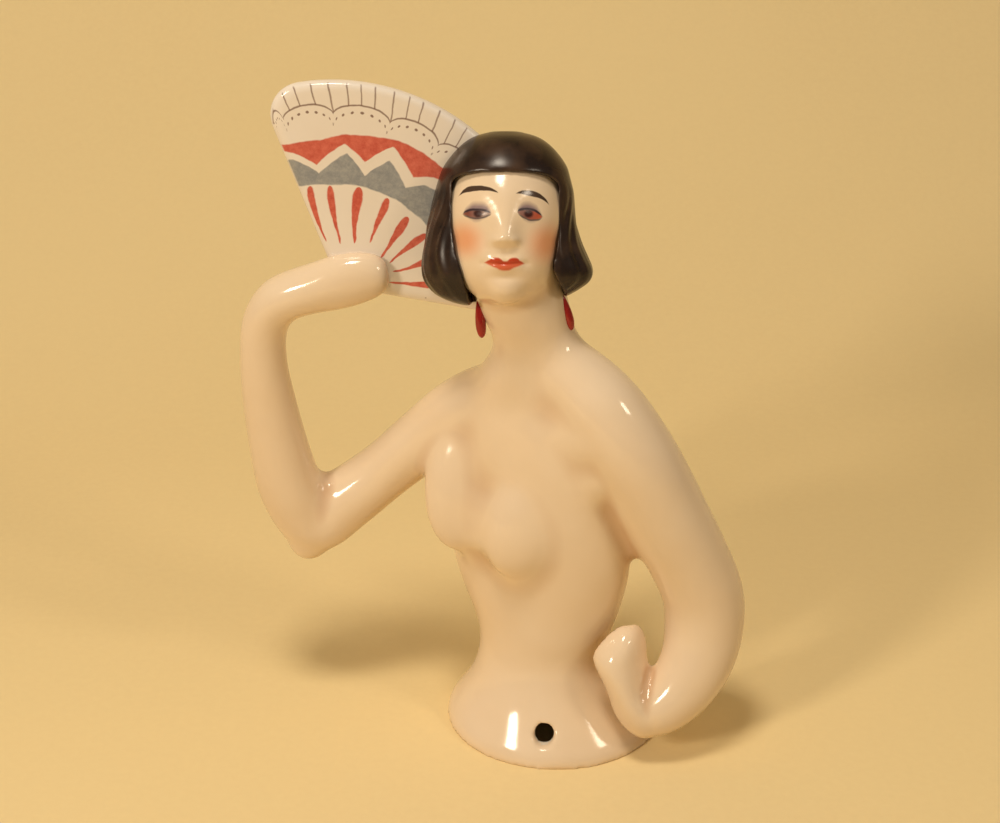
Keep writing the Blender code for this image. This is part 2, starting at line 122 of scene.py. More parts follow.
def trunk_levels(low, edge):
    """The hem's levels below and above the table, and then all the levels of the trunk."""
    half_width, half_depth, turn = HEM
    hem = (0.0, 0.0, half_width, half_depth, half_depth, turn)
    return np.vstack(([[low, *hem], [edge, *hem]], curve_through(TRUNK_LEVELS, 6)))


trunk = closed_skin("trunk", oval_rings(trunk_levels(-4.0, HEM_EDGE)))


# The breasts: two soft drops of the same casting, the left one fuller as the body turns.
# Each is a long rounded form that the slip and glaze have run together with the chest.

RIGHT_BREAST = ((-16.8, -3.6, 34.6), (-14.6, 2.6, 57.5), 6.2, 4.2)
LEFT_BREAST = ((-8.4, -9.2, 33.0), (2.6, -3.4, 60.0), 7.2, 4.2)


def rounded_form(name, low_end, high_end, half_width, half_depth, heavy=0.0, around=48):
    """An ellipsoid between two ends. Its width lies across the view from the front, and its
    sections are wider towards the low end by the share called heavy."""
    low_end, high_end = np.asarray(low_end, float), np.asarray(high_end, float)
    along = high_end - low_end
    length = np.linalg.norm(along)
    along /= length
    deep = np.cross(along, (1.0, 0.0, 0.0))
    deep /= np.linalg.norm(deep)
    wide = np.cross(deep, along)
    height = np.linspace(-0.5 * math.pi, 0.5 * math.pi, 33)[1:-1, None]
    girth = np.cos(height) * (1 - heavy * np.sin(height))
    across, out = circle(around)
    rings = (
        (low_end + high_end) / 2
        + (np.sin(height) * length / 2 + 0 * across)[..., None] * along
        + (half_width * girth * across)[..., None] * wide
        + (half_depth * girth * out)[..., None] * -deep
    )
    return closed_skin(name, rings)


breasts = [
    rounded_form("right_breast", *RIGHT_BREAST),
    rounded_form("left_breast", *LEFT_BREAST, heavy=0.15),
]


# The arms: the right one is bent up to hold the fan, the left one comes down to the hip.
# They are solid in the real doll, cast in the same mould as the trunk.

RIGHT_ARM = (
    # centre x, y, z and radius
    (-7.8, 1.5, 62.4, 4.8), (-12.2, 3.6, 58.9, 5.8), (-17.0, 5.6, 54.7, 6.0), (-22.8, 7.2, 49.4, 5.4),
    (-28.9, 8.2, 43.6, 5.1), (-35.7, 8.2, 38.0, 5.5), (-41.1, 7.4, 34.2, 5.3), (-44.6, 6.6, 40.8, 5.5),
    (-46.2, 5.8, 49.0, 5.0), (-47.3, 4.8, 58.5, 4.4), (-47.7, 4.0, 66.0, 3.9), (-47.0, 3.3, 72.6, 3.8),
    (-44.4, 2.6, 76.8, 3.9), (-40.5, 2.0, 78.7, 4.0), (-36.0, 1.6, 80.2, 4.0),
)
LEFT_ARM = (
    (-2.6, -2.0, 70.0, 5.0), (3.0, -4.5, 65.8, 6.0), (7.0, -6.6, 62.0, 6.6), (10.5, -7.8, 56.8, 7.0),
    (13.8, -8.2, 51.0, 7.1), (17.6, -7.8, 43.4, 7.0), (21.5, -7.0, 35.5, 6.8), (24.3, -6.6, 28.5, 6.8),
    (24.8, -7.2, 22.5, 6.7), (23.8, -9.0, 17.2, 6.2), (21.2, -10.8, 12.8, 5.6), (17.8, -12.4, 9.8, 4.8),
    (15.0, -13.0, 9.0, 4.2),
)
RIGHT_ELBOW = (
    (-41.4, 7.5, 34.4, 4.6), (-42.1, 7.4, 31.2, 4.2), (-42.6, 7.4, 28.6, 3.0), (-42.9, 7.4, 26.9, 0.8),
)
RIGHT_SHOULDER_STATIONS = 3
LEFT_SHOULDER_STATIONS = 4
SHOULDER_SWELLS = (
    # the same, for the two swells that carry the left shoulder over to the chest
    ((-5.0, -1.8, 58.5, 5.0), (1.0, -4.2, 58.5, 6.0), (7.0, -6.6, 57.5, 6.6)),
    ((-2.0, -3.2, 52.0, 5.0), (3.5, -5.6, 52.0, 5.6), (9.0, -7.4, 51.0, 6.0)),
)


def limb(name, stations, around=48):
    """A section carried along the curve through the stations, square to it everywhere: round where a
    station ends in one radius, oval where it ends in a half height and a half depth."""
    rows = curve_through(stations, 6)
    path = rows[:, :3]
    along = np.gradient(path, axis=0)
    along /= np.linalg.norm(along, axis=1)[:, None]
    up = np.cross((0.0, 1.0, 0.0), along)
    up /= np.linalg.norm(up, axis=1)[:, None]
    back = np.cross(along, up)
    high, deep = circle(around)
    return closed_skin(name, (
        path[:, None] + (rows[:, 3:4] * high)[..., None] * up[:, None]
        + (rows[:, -1:] * deep)[..., None] * back[:, None]
    ))


shoulders = [
    limb("right_shoulder", RIGHT_ARM[:RIGHT_SHOULDER_STATIONS]),
    limb("left_shoulder", LEFT_ARM[:LEFT_SHOULDER_STATIONS]),
    *(limb("shoulder_swell", stations) for stations in SHOULDER_SWELLS),
]
arms = [limb("right_arm", RIGHT_ARM), limb("right_elbow", RIGHT_ELBOW), limb("left_arm", LEFT_ARM)]


# The hands: the right one closes round the fan like a mitten, the left one is cupped on the hip.
# No fingers are modelled on the real doll. Its hands are smooth tapering forms of the same casting.

RIGHT_HAND = (
    # centre x, y, z, half height and half depth of the section, from wrist to finger ends
    (-41.0, 2.0, 78.5, 3.9, 3.6), (-38.0, 1.6, 79.5, 4.2, 3.6), (-34.8, 1.2, 80.5, 4.5, 3.5),
    (-31.4, 1.2, 81.3, 4.3, 3.2), (-28.6, 1.4, 81.7, 3.6, 2.8), (-26.8, 1.6, 81.9, 2.3, 2.0),
)
LEFT_HAND = (
    # height, left and right edge x, y at the left edge, at the middle and at the right edge, half depth
    (4.6, 12.6, 17.4, -12.0, -13.2, -12.2, 1.6), (6.8, 10.8, 18.4, -12.0, -13.9, -12.6, 2.7),
    (9.1, 9.5, 18.4, -11.8, -14.2, -12.0, 2.9), (11.5, 8.8, 17.0, -11.6, -14.1, -10.9, 2.7),
    (13.4, 8.1, 15.9, -11.4, -13.9, -9.8, 2.4), (15.1, 7.3, 15.7, -11.1, -13.6, -8.9, 2.2),
    (17.0, 6.3, 15.6, -10.7, -13.1, -8.2, 2.1), (18.6, 5.9, 15.5, -10.3, -12.5, -7.7, 2.0),
    (20.0, 6.6, 15.4, -9.9, -11.9, -7.5, 1.9), (21.4, 7.9, 15.0, -9.3, -11.1, -7.4, 1.8),
    (22.6, 9.2, 14.4, -8.8, -10.2, -7.5, 1.6), (23.6, 10.6, 13.4, -8.4, -9.2, -7.8, 1.0),
)


def cupped_hand(name, levels, around=64):
    """Level slices of a slab. Across each one, y follows the parabola through its left edge, middle
    and right edge, and the half depth swells around that line as the root of a half circle."""
    height, left, right, y_left, y_middle, y_right, depth = curve_through(levels, 5).T[:, :, None]
    across, deep = circle(around)
    bow = y_middle + across * (y_right - y_left) / 2 + across ** 2 * ((y_right + y_left) / 2 - y_middle)
    x = (left + right) / 2 + across * (right - left) / 2
    swell = np.sign(deep) * np.abs(deep) ** 0.8
    return closed_skin(name, np.stack((x, bow + depth * swell, height + 0 * x), axis=-1))


right_hand = limb("right_hand", RIGHT_HAND)
left_hand = cupped_hand("left_hand", LEFT_HAND)


# The head: an egg-shaped face with a small chin, leaning back a little, of the same casting.
# Its own frame has x to her left, y to the back and z up through the crown.

HEAD_CENTRE = (-8.5, -0.5, 91.5)
HEAD_LEAN = 18.0
HEAD_FORMS = (
    # centre and half sizes in the head's own frame
    ("skull", (0.0, 0.2, 0.8), (9.6, 10.0, 11.4)),
    ("jaw", (0.0, -1.8, -5.0), (8.2, 8.0, 8.2)),
    ("chin", (0.0, -6.0, -9.8), (3.2, 3.0, 3.0)),
)

cos, sin = math.cos(math.radians(HEAD_LEAN)), math.sin(math.radians(HEAD_LEAN))
HEAD_TURN = np.array([[1, 0, 0], [0, cos, sin], [0, -sin, cos]])


def in_head_frame(points):
    """Points of the head's own frame put in their place: leant back about X and set on the neck."""
    return points @ HEAD_TURN.T + HEAD_CENTRE


def egg(name, centre, half_sizes, around=64):
    """An ellipsoid: half sizes times (cos h cos a, cos h sin a, sin h), about its centre."""
    height = np.linspace(-0.5 * math.pi, 0.5 * math.pi, 41)[1:-1, None]
    across, deep = circle(around)
    ball = np.stack((np.cos(height) * across, np.cos(height) * deep, np.sin(height) + 0 * across), axis=-1)
    return closed_skin(name, in_head_frame(ball * half_sizes + centre))


head = [egg(name, centre, half_sizes) for name, centre, half_sizes in HEAD_FORMS]


# One casting: the mould makes all these forms one skin, and the glaze rounds every join.
# The chest and shoulders run together softly, the hands, the elbows and the chin more tightly.
# The slip is poured out again, so the trunk is hollow, and the hem has a sewing hole front and back.

WALL = 2.4
HOLLOW_TOP = 46.5
HOLLOW_FOOT = -6.0
SEW_HOLE = (1.65, 4.8, 8.0)
SOFT_JOIN = 3.4
CLOSE_JOIN = 0.8
CREASE_JOIN = 0.2
CHEST_STEP = 0.5
SKIN_STEP = 0.44


def settle(made):
    """Put the mesh that the modifiers give in the place of the object's own."""
    bpy.context.view_layer.update()
    graph = bpy.context.evaluated_depsgraph_get()
    made.data = bpy.data.meshes.new_from_object(made.evaluated_get(graph))
    made.modifiers.clear()


def finish_mesh(made):
    """Settle the mesh and shade it smooth."""
    settle(made)
    made.data.shade_smooth()


def join(name, forms):
    """One object with the faces of all the forms, which are then gone."""
    with bpy.context.temp_override(active_object=forms[0], selected_editable_objects=forms):
        bpy.ops.object.join()
    forms[0].name = name
    return forms[0]


def reskin(made, step, rounds):
    """One closed skin round everything, in faces of this step, evened out in this many rounds."""
    skin = made.modifiers.new("skin", "REMESH")
    skin.mode = "VOXEL"
    skin.voxel_size = step / 1000
    made.modifiers.new("even", "SMOOTH").iterations = rounds


def fuse(made, step, fillet, rounds):
    """Fuse crossing forms to one skin. Swelling it by the fillet and shrinking it back fills each
    hollow to that radius, and the last rounds even out the skin."""
    for grow, calm in ((fillet, 3), (-fillet, rounds)):
        reskin(made, step, 2)
        push = made.modifiers.new("push", "DISPLACE")
        push.strength = grow / 1000
        push.mid_level = 0.0
        made.modifiers.new("calm", "SMOOTH").iterations = calm
    finish_mesh(made)


def cut(made, cutter):
    """Take the cutter's space out of the piece."""
    take = made.modifiers.new("cut", "BOOLEAN")
    take.operation = "DIFFERENCE"
    take.object = cutter
    finish_mesh(made)
    bpy.data.objects.remove(cutter)


hollow_levels = trunk_levels(HOLLOW_FOOT, HEM_EDGE - WALL / 4)


def hollow_form():
    """The inside of the trunk, one wall in from the outside, its top rounded over three levels."""
    levels = hollow_levels[hollow_levels[:, 0] < HOLLOW_TOP]
    rings = [oval_rings(levels, WALL)]
    for share in (0.8, 0.5, 0.2):
        top = levels[-1:].copy()
        top[:, 3:6] *= share
        top[:, 0] = HOLLOW_TOP + (1 - share) * WALL
        rings.append(oval_rings(top, WALL * share))
    return closed_skin("hollow", np.concatenate(rings))


def hole_form():
    """A round bar through the hem from front to back, turned a little to her right."""
    radius, height, turn = SEW_HOLE
    across, up = circle(48)
    x, y = radius * across, np.array([[-26.0], [26.0]])
    sin, cos = math.sin(math.radians(-turn)), math.cos(math.radians(-turn))
    return closed_skin("hole", np.stack((
        cos * x - sin * y, sin * x + cos * y, height - radius * up + 0 * y,
    ), axis=-1))


def table_form():
    """A flat slab whose top is the table."""
    x, y = np.array([[-30.0, 30.0, 30.0, -30.0], [-30.0, -30.0, 30.0, 30.0]])
    return closed_skin("table", np.stack(np.broadcast_arrays(x, y, [[-12.0], [0.0]]), axis=-1))


chest = join("chest", [trunk, *breasts, *shoulders])
fuse(chest, CHEST_STEP, SOFT_JOIN, 6)
casting = join("casting", [chest, *arms, right_hand, *head])
fuse(casting, SKIN_STEP, CLOSE_JOIN, 9)
casting = join("casting", [casting, left_hand])
fuse(casting, SKIN_STEP, CREASE_JOIN, 4)
for cutter in (table_form(), hollow_form(), hole_form()):
    cut(casting, cutter)
reskin(casting, SKIN_STEP, 6)
finish_mesh(casting)


def rows_of(items, name):
    """One value with three parts from every item of a mesh, as rows."""
    values = np.empty(len(items) * 3, np.float32)
    items.foreach_get(name, values)
    return values.reshape(-1, 3).astype(float)


def points_of(made):
    """All the points of a piece, in millimetres from the middle of the hem."""
    return rows_of(made.data.vertices, "co") * 1000 - HEM_MIDDLE


def put_points(made, points):
    """Move the points of a piece to these places."""
    made.data.vertices.foreach_set("co", ((points + HEM_MIDDLE) / 1000).ravel())
    made.data.update()


# The hem stands flat on the table
skin = points_of(casting)
skin[:, 2] = np.where(skin[:, 2] < 0.2, 0.0, skin[:, 2])
put_points(casting, skin)


def linear(hexa):
    """An sRGB hex colour as linear red, green, blue and a one."""
    value = np.array([int(hexa[i:i + 2], 16) for i in (0, 2, 4)]) / 255
    value = np.where(value <= 0.04045, value / 12.92, ((value + 0.055) / 1.055) ** 2.4)
    return (*value.tolist(), 1.0)


def feed(node, inputs):
    """Give a node's inputs their values: a number, a hex colour or another node's output."""
    for key, value in inputs.items():
        if isinstance(value, bpy.types.NodeSocket):
            node.id_data.links.new(value, node.inputs[key])
        else:
            node.inputs[key].default_value = linear(value) if isinstance(value, str) else value


def add(tree, kind, inputs, output=0, **settings):
    """Add a node with its settings and its inputs, and give one of its outputs."""
    made = tree.nodes.new("ShaderNode" + kind)
    for name, value in settings.items():
        setattr(made, name, value)
    feed(made, inputs)
    return made.outputs[output]


def new_material(name, *pieces):
    """A material for these pieces: its node tree, and its Principled shader."""
    made = bpy.data.materials.new(name)
    made.use_nodes = True
    for piece in pieces:
        piece.data.materials.append(made)
    return made.node_tree, made.node_tree.nodes["Principled BSDF"]


def hollows_of(made, rounds=12):
    """How hollow the skin is at each point: how far the mean of its neighbours lies outside it, in
    millimetres, and this spread over the neighbours again in each round."""
    mesh = made.data
    pairs = np.empty(len(mesh.edges) * 2, np.int64)
    mesh.edges.foreach_get("vertices", pairs)
    one, other = pairs.reshape(-1, 2).T
    count = len(mesh.vertices)
    degree = np.maximum(np.bincount(one, minlength=count) + np.bincount(other, minlength=count), 1)

    def mean_beside(values):
        return (
            np.bincount(one, values[other], count) + np.bincount(other, values[one], count)
        ) / degree

    points = points_of(made)
    lifted = np.stack([mean_beside(points[:, i]) - points[:, i] for i in range(3)], axis=-1)
    hollow = (lifted * rows_of(mesh.vertex_normals, "vector")).sum(axis=1)
    for _ in range(rounds):
        hollow = 0.5 * hollow + 0.5 * mean_beside(hollow)
    return hollow


def keep_hollows(made, deep=0.012):
    """Write the hollows into the mesh, nought on the open skin and one where they are deep."""
    layer = made.data.attributes.new("hollow", "FLOAT", "POINT")
    layer.data.foreach_set("value", np.clip(hollows_of(made) / deep, 0.0, 1.0).astype(np.float32))


def millimetres(tree, centre=(0.0, 0.0, 0.0), lean=0.0):
    """Where a point of the piece lies, in millimetres from this centre, and leant back with it."""
    return add(tree, "Mapping", {
        "Vector": add(tree, "TexCoord", {}, "Object"),
        "Location": tuple((np.asarray(centre) + HEM_MIDDLE) / 1000),
        "Rotation": (math.radians(-lean), 0.0, 0.0),
        "Scale": (0.001, 0.001, 0.001),
    }, vector_type="TEXTURE")


def coat(tree, under, where, colour, strength=1.0):
    """One coat of paint or glaze over the colour under it, as thick as where says, times its strength.
    A colour mix takes its two colours in sockets 6 and 7 and gives the result in output 2."""
    if strength != 1.0:
        where = add(tree, "Math", {0: where, 1: strength}, operation="MULTIPLY")
    return add(tree, "Mix", {"Factor": where, 6: under, 7: colour}, 2, data_type="RGBA")


def rippled(tree, place, size, height, detail, roughness=0.5):
    """The slopes of waves that are this size and this high, in millimetres."""
    wave = add(tree, "TexNoise", {
        "Vector": place, "Scale": 1 / size, "Detail": detail, "Roughness": roughness,
    })
    return add(tree, "Bump", {"Height": wave, "Distance": height / 1000})


# The glaze is clear and glossy over a body tinted like skin. The hollows are painted darker, towards
# a warm brown: mostly painted shade, in part the glaze pooling there. A few specks are fired in.
FLESH_LIGHT = "F2DEC4"
FLESH_WARM = "E8CDA8"
HOLLOW_SHADE = "B8814C"
SPECK = "6B4630"
TINT_CLOUD = 16.0
SPECK_SPACING = 7.0
SPECK_RADIUS = 0.16
SPECKED_SHARE = 0.28
SPECK_STRENGTH = 0.45
GLAZE_WAVE = 5.0
GLAZE_WAVE_HEIGHT = 0.03


def glazed_ground(tree, shader, light=FLESH_LIGHT, warm=FLESH_WARM, hollow_shade_by=0.5, gloss=(0.08, 0.14)):
    """The glazed porcelain under any paint. It gives the colour, with shade painted warm brown into the
    hollows as strongly as hollow_shade_by says, and sets the gloss, between the two roughnesses, and the
    waves."""
    place = millimetres(tree)
    cloud = add(tree, "TexNoise", {"Vector": place, "Scale": 1 / TINT_CLOUD, "Detail": 3.0})
    colour = coat(tree, light, cloud, warm)
    # Painted shade: the hollows of the skin darkened towards a warm brown
    hollow = add(tree, "Attribute", {}, "Fac", attribute_name="hollow")
    colour = coat(tree, colour, hollow, HOLLOW_SHADE, hollow_shade_by)
    far = add(tree, "TexVoronoi", {"Vector": place, "Scale": 1 / SPECK_SPACING}, "Distance")
    chance = add(tree, "SeparateColor", {0: far.node.outputs["Color"]})
    picked = add(tree, "Math", {0: chance, 1: 1 - SPECKED_SHARE}, operation="GREATER_THAN")
    near = add(tree, "Math", {0: far, 1: SPECK_RADIUS / SPECK_SPACING}, operation="LESS_THAN")
    speck = add(tree, "Math", {0: near, 1: picked}, operation="MULTIPLY")
    feed(shader, {
        "Normal": rippled(tree, place, GLAZE_WAVE, GLAZE_WAVE_HEIGHT, 1.0, 0.4),
        "Roughness": add(tree, "MapRange", {"Value": cloud, "To Min": gloss[0], "To Max": gloss[1]}),
    })
    return coat(tree, colour, speck, SPECK, SPECK_STRENGTH)


def part_of(whole, name, keep):
    """A copy of the piece with only those faces whose middle the test keeps."""
    made = bpy.data.objects.new(name, whole.data.copy())
    bpy.context.scene.collection.objects.link(made)
    kept = keep(rows_of(made.data.polygons, "center") * 1000 - HEM_MIDDLE)
    shape = bmesh.new()
    shape.from_mesh(made.data)
    gone = [face for face, stays in zip(shape.faces, kept) if not stays]
    bmesh.ops.delete(shape, geom=gone, context="FACES")
    shape.to_mesh(made.data)
    shape.free()
    return made


def take_normals(made, whole, group=""):
    """Shade the piece with the whole casting's own normals, so no seam shows where it was parted, and
    with a group of points only as much as each one belongs to it."""
    carry = made.modifiers.new("carry_normals", "DATA_TRANSFER")
    carry.object = whole
    carry.use_loop_data = True
    carry.data_types_loops = {"CUSTOM_NORMAL"}
    carry.loop_mapping = "POLYINTERP_NEAREST"
    carry.vertex_group = group
    settle(made)


def head_place(points):
    """Points in the head's own frame, from millimetres counted at the hem."""
    return (points - HEAD_CENTRE) @ HEAD_TURN


FACE_SIDE = -2.5
FACE_FOOT = -13.5
FACE_LAP = 0.8


def inside_face(points):
    """How far in a point is from the edge of the face: its front side and its foot below the chin."""
    _, y, z = head_place(points).T
    return np.minimum(FACE_SIDE - y, z - FACE_FOOT)


def in_hollow(centres):
    """Inside the oval halfway through the wall of the trunk, below the top of the hollow."""
    height = centres[:, 2]
    x, y, half_width, front, back, turn = (
        np.interp(height, hollow_levels[:, 0], hollow_levels[:, i]) for i in range(1, 7)
    )
    turn = np.radians(-turn)
    dx, dy = centres[:, 0] - x, centres[:, 1] - y
    across, deep = np.cos(turn) * dx + np.sin(turn) * dy, np.cos(turn) * dy - np.sin(turn) * dx
    depth = np.where(deep > 0, back, front)
    inside = (across / (half_width - WALL / 2)) ** 2 + (deep / (depth - WALL / 2)) ** 2 < 1
    return inside & (height < HOLLOW_TOP + WALL / 2) & (height > 0.3)


keep_hollows(casting)
whole = casting
whole.name = "whole_casting"
casting = part_of(whole, "casting", lambda at: (inside_face(at) <= 0) & ~in_hollow(at))
inside = part_of(whole, "hollow_inside", in_hollow)
# The face keeps a narrow lap that lies under the edge of the casting
face = part_of(whole, "face", lambda at: inside_face(at) > -FACE_LAP)
for made in (casting, inside):
    take_normals(made, whole)

tree, shader = new_material("flesh_tinted_porcelain_glaze", casting)
feed(shader, {"Base Color": glazed_ground(tree, shader)})
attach(casting, "root")
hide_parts("half_doll")


# The inside: bare fired porcelain, where no glaze was poured.
# It is dull and chalky, a little grey with dust, with the soft waves that the drained slip leaves.

BARE_LIGHT = "E9E0D0"
BARE_DUSTY = "C9BBA3"
DUST_CLOUD = 6.0
SLIP_WAVE = 3.0
SLIP_WAVE_HEIGHT = 0.1

tree, shader = new_material("bare_fired_porcelain", inside)
place = millimetres(tree)
dust = add(tree, "TexNoise", {"Vector": place, "Scale": 1 / DUST_CLOUD, "Detail": 6.0})
feed(shader, {
    "Base Color": coat(tree, BARE_LIGHT, dust, BARE_DUSTY),
    "Normal": rippled(tree, place, SLIP_WAVE, SLIP_WAVE_HEIGHT, 4.0),
    "Roughness": 0.75,
})
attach(inside, "root")


# The face: the front of the head, in the same glazed casting, with its features in soft relief.
# They are painted by hand in overglaze colours: brown brows, shaded eyes, orange-red lips and an
# airbrushed orange blush. Places are x and z in the head's own frame.

NOSE = (
    # height up the face, how far the ridge stands out, how wide it is
    (6.5, 0.00, 2.6), (5.2, 0.08, 2.5), (3.4, 0.26, 2.3), (1.4, 0.55, 2.1), (-0.4, 0.98, 1.95),
    (-1.6, 1.42, 1.85), (-2.3, 1.62, 1.8), (-2.9, 1.45, 1.8), (-3.5, 0.85, 1.8), (-4.1, 0.25, 1.7),
    (-4.8, 0.0, 1.6),
)
FACE_HILLS = (
    # x, z, half width, half height, how far it stands out
    (1.45, -2.85, 0.75, 0.65, 0.35), (-1.45, -2.85, 0.75, 0.65, 0.35),
    (-4.2, 1.6, 2.4, 2.2, -0.26), (3.8, 1.6, 2.4, 2.2, -0.24),
    (-4.3, 0.9, 1.9, 1.0, 0.16), (3.7, 0.8, 1.9, 1.0, 0.12),
    (-5.4, -2.6, 2.4, 2.1, 0.25), (5.4, -2.8, 2.4, 2.1, 0.25),
    (-1.25, -5.75, 1.25, 0.50, 0.28), (1.15, -5.75, 1.25, 0.50, 0.28),
    (0.0, -6.9, 1.75, 0.60, 0.34), (0.0, -6.38, 2.7, 0.20, -0.12),
    (0.0, -4.7, 0.45, 0.75, -0.08), (-3.4, -6.3, 0.6, 0.6, -0.16), (3.15, -6.4, 0.6, 0.6, -0.16),
    (0.0, -8.45, 2.2, 0.65, -0.28), (0.0, -10.4, 2.4, 1.5, 0.22),
)
RIM_WIDTH = 1.2


def face_relief(x, z):
    """How far the features stand out: the nose as a ridge falling off as exp(-(x / width)^2), and
    hills and dips falling off as exp(-dx^2 - dz^2), each in its own half widths."""
    rows = curve_through(NOSE, 8)[::-1]
    stands, width = (np.interp(z, rows[:, 0], rows[:, i]) for i in (1, 2))
    out = np.maximum(stands, 0) * np.exp(-(x / width) ** 2)
    for x0, z0, wide, high, amount in FACE_HILLS:
        out += amount * np.exp(-((x - x0) / wide) ** 2 - ((z - z0) / high) ** 2)
    return out


finer = face.modifiers.new("finer", "SUBSURF")
finer.levels = finer.render_levels = 2
finish_mesh(face)
points = points_of(face)
x, y, z = head_place(points).T
relief = face_relief(x, z) * np.clip((-y - 4.0) / 2.0, 0, 1)
relief -= 0.04 * np.clip(-inside_face(points) / FACE_LAP, 0, 1)
put_points(face, points + relief[:, None] * (HEAD_TURN @ (0.0, -1.0, 0.0)))

# The rim is shaded with the casting's normals and the middle with its own, in ten steps between
share = np.clip(1 - inside_face(points_of(face)) / RIM_WIDTH, 0, 1)
rim = face.vertex_groups.new(name="rim")
for level in range(1, 11):
    rim.add(np.nonzero(np.abs(share * 10 - level) <= 0.5)[0].tolist(), level / 10, "REPLACE")
take_normals(face, whole, "rim")
bpy.data.objects.remove(whole)


def by_hand(tree, place, size, width):
    """The x and the z of a place as a brush finds them: up to half the width off, in waves of this
    size."""
    wobble = add(tree, "TexNoise", {"Vector": place, "Scale": 1 / size, "Detail": 2.0}, "Color")
    centred = add(tree, "VectorMath", {0: wobble, 1: (0.5, 0.5, 0.5)}, operation="SUBTRACT")
    drawn = add(tree, "VectorMath", {0: centred, 1: (width,) * 3, 2: place}, operation="MULTIPLY_ADD")
    x = add(tree, "SeparateXYZ", {0: drawn}, "X")
    return x, x.node.outputs["Z"]


def drawn_line(tree, along, rows, straight=False):
    """A line through (place, value) rows: the value at each place, as a painter would draw it."""
    rows = np.asarray(sorted(rows), float)
    start, end = rows[0, 0], rows[-1, 0]
    low = rows[:, 1].min()
    high = max(rows[:, 1].max(), low + 0.001)
    share = add(tree, "MapRange", {"Value": along, "From Min": start, "From Max": end})
    line = add(tree, "FloatCurve", {"Value": share})
    points = line.node.mapping.curves[0].points
    spots = ((rows - (start, low)) / (end - start, high - low)).tolist()
    points[0].location, points[1].location = spots[0], spots[-1]
    for spot in spots[1:-1]:
        points.new(*spot)
    for point in points:
        point.handle_type = "VECTOR" if straight else "AUTO_CLAMPED"
    line.node.mapping.update()
    return add(tree, "MapRange", {"Value": line, "To Min": low, "To Max": high}, clamp=False)


def painted_area(tree, along, across, low_rows, high_rows, soft, straight=False):
    """Where paint lies: between two drawn lines, full from the soft edge's width inwards."""
    low, high = (drawn_line(tree, along, rows, straight) for rows in (low_rows, high_rows))
    above = add(tree, "Math", {0: across, 1: low}, operation="SUBTRACT")
    below = add(tree, "Math", {0: high, 1: across}, operation="SUBTRACT")
    nearer = add(tree, "Math", {0: above, 1: below}, operation="MINIMUM")
    return add(tree, "MapRange", {"Value": nearer, "From Max": soft})


def painted_spot(tree, x, z, centre, half_width, half_height, edge):
    """Where a round spot lies: one inside the ellipse, falling to nought over the share called edge."""
    spot = add(tree, "CombineXYZ", {"X": x, "Y": z})
    away = add(tree, "VectorMath", {0: spot, 1: (*centre, 0.0)}, operation="SUBTRACT")
    scaled = add(tree, "VectorMath", {0: away, 1: (half_width, half_height, 1.0)}, operation="DIVIDE")
    far = add(tree, "VectorMath", {0: scaled}, "Value", operation="LENGTH")
    return add(tree, "MapRange", {
        "Value": far, "From Min": 1.0, "From Max": 1.0 - edge,
    }, interpolation_type="SMOOTHSTEP")


def stroke_lines(rows, below, above):
    """The lower and the upper edge of a stroke along the (place, value) rows, closed at its ends."""
    ends = (0, len(rows) - 1)
    return [
        [(place, value + off * (i not in ends)) for i, (place, value) in enumerate(rows)]
        for off in (-below, above)
    ]


def brow(rows):
    """The lower and the upper edge of a tapering stroke from its (x, middle, half height) rows."""
    return [(x, z - half) for x, z, half in rows], [(x, z + half) for x, z, half in rows]


RIGHT_BROW = (
    (-7.2, 3.45, 0.0), (-6.6, 4.05, 0.20), (-6.15, 4.38, 0.34), (-5.3, 4.68, 0.47), (-4.0, 4.82, 0.44),
    (-2.7, 4.75, 0.35), (-1.7, 4.48, 0.25), (-0.9, 4.0, 0.0),
)
LEFT_BROW = (
    (1.45, 4.02, 0.0), (2.25, 4.20, 0.27), (2.95, 4.17, 0.40), (3.8, 4.05, 0.48), (4.6, 3.85, 0.46),
    (5.4, 3.48, 0.37), (6.1, 2.95, 0.27), (6.65, 2.2, 0.0),
)
EYES = (
    # upper lid, lower lid, iris, lid shadow, colour at the outer and at the inner side, their x
    (
        ((-6.5, 0.92), (-5.74, 1.34), (-4.68, 1.56), (-3.78, 1.56), (-2.73, 1.34), (-1.99, 1.08)),
        (
            (-6.5, 0.92), (-5.89, 0.70), (-5.13, 0.47), (-4.38, 0.38), (-3.33, 0.54), (-2.43, 0.86),
            (-1.99, 1.08),
        ),
        (-4.08, 1.06),
        ((-6.5, 0.92), (-5.6, 2.4), (-4.4, 3.0), (-3.2, 2.9), (-2.4, 2.2), (-1.99, 1.08)),
        "80402F", "A08578", (-5.6, -3.4),
    ),
    (
        ((1.72, 1.25), (2.17, 1.56), (3.22, 1.68), (4.12, 1.52), (5.02, 1.04), (5.64, 0.53)),
        ((1.72, 1.25), (2.32, 0.76), (2.92, 0.44), (3.82, 0.14), (4.88, 0.16), (5.64, 0.53)),
        (3.45, 1.06),
        ((1.72, 1.25), (2.1, 2.5), (3.2, 3.05), (4.3, 2.7), (5.1, 1.8), (5.64, 0.53)),
        "C0522C", "8E5F52", (4.9, 2.7),
    ),
)
LIPS_TOP = (
    (-3.34, -6.27), (-2.44, -5.73), (-1.4, -5.35), (-0.65, -5.57), (0.03, -5.88), (0.69, -5.49),
    (1.28, -5.35), (2.18, -5.80), (3.02, -6.42),
)
LIPS_LOW = (
    (-3.34, -6.27), (-2.44, -6.71), (-1.4, -7.15), (-0.05, -7.55), (1.29, -7.14), (2.2, -6.80), (3.02, -6.42),
)
MOUTH_LINE = ((-3.34, -6.27), (-1.69, -6.30), (-0.05, -6.52), (1.44, -6.36), (3.02, -6.42))
BLUSHES = (((-6.2, -2.9), 4.2, 3.9), ((6.3, -3.5), 4.3, 4.4))
BROW_INK = "3A2418"
LID_INK = "37292E"
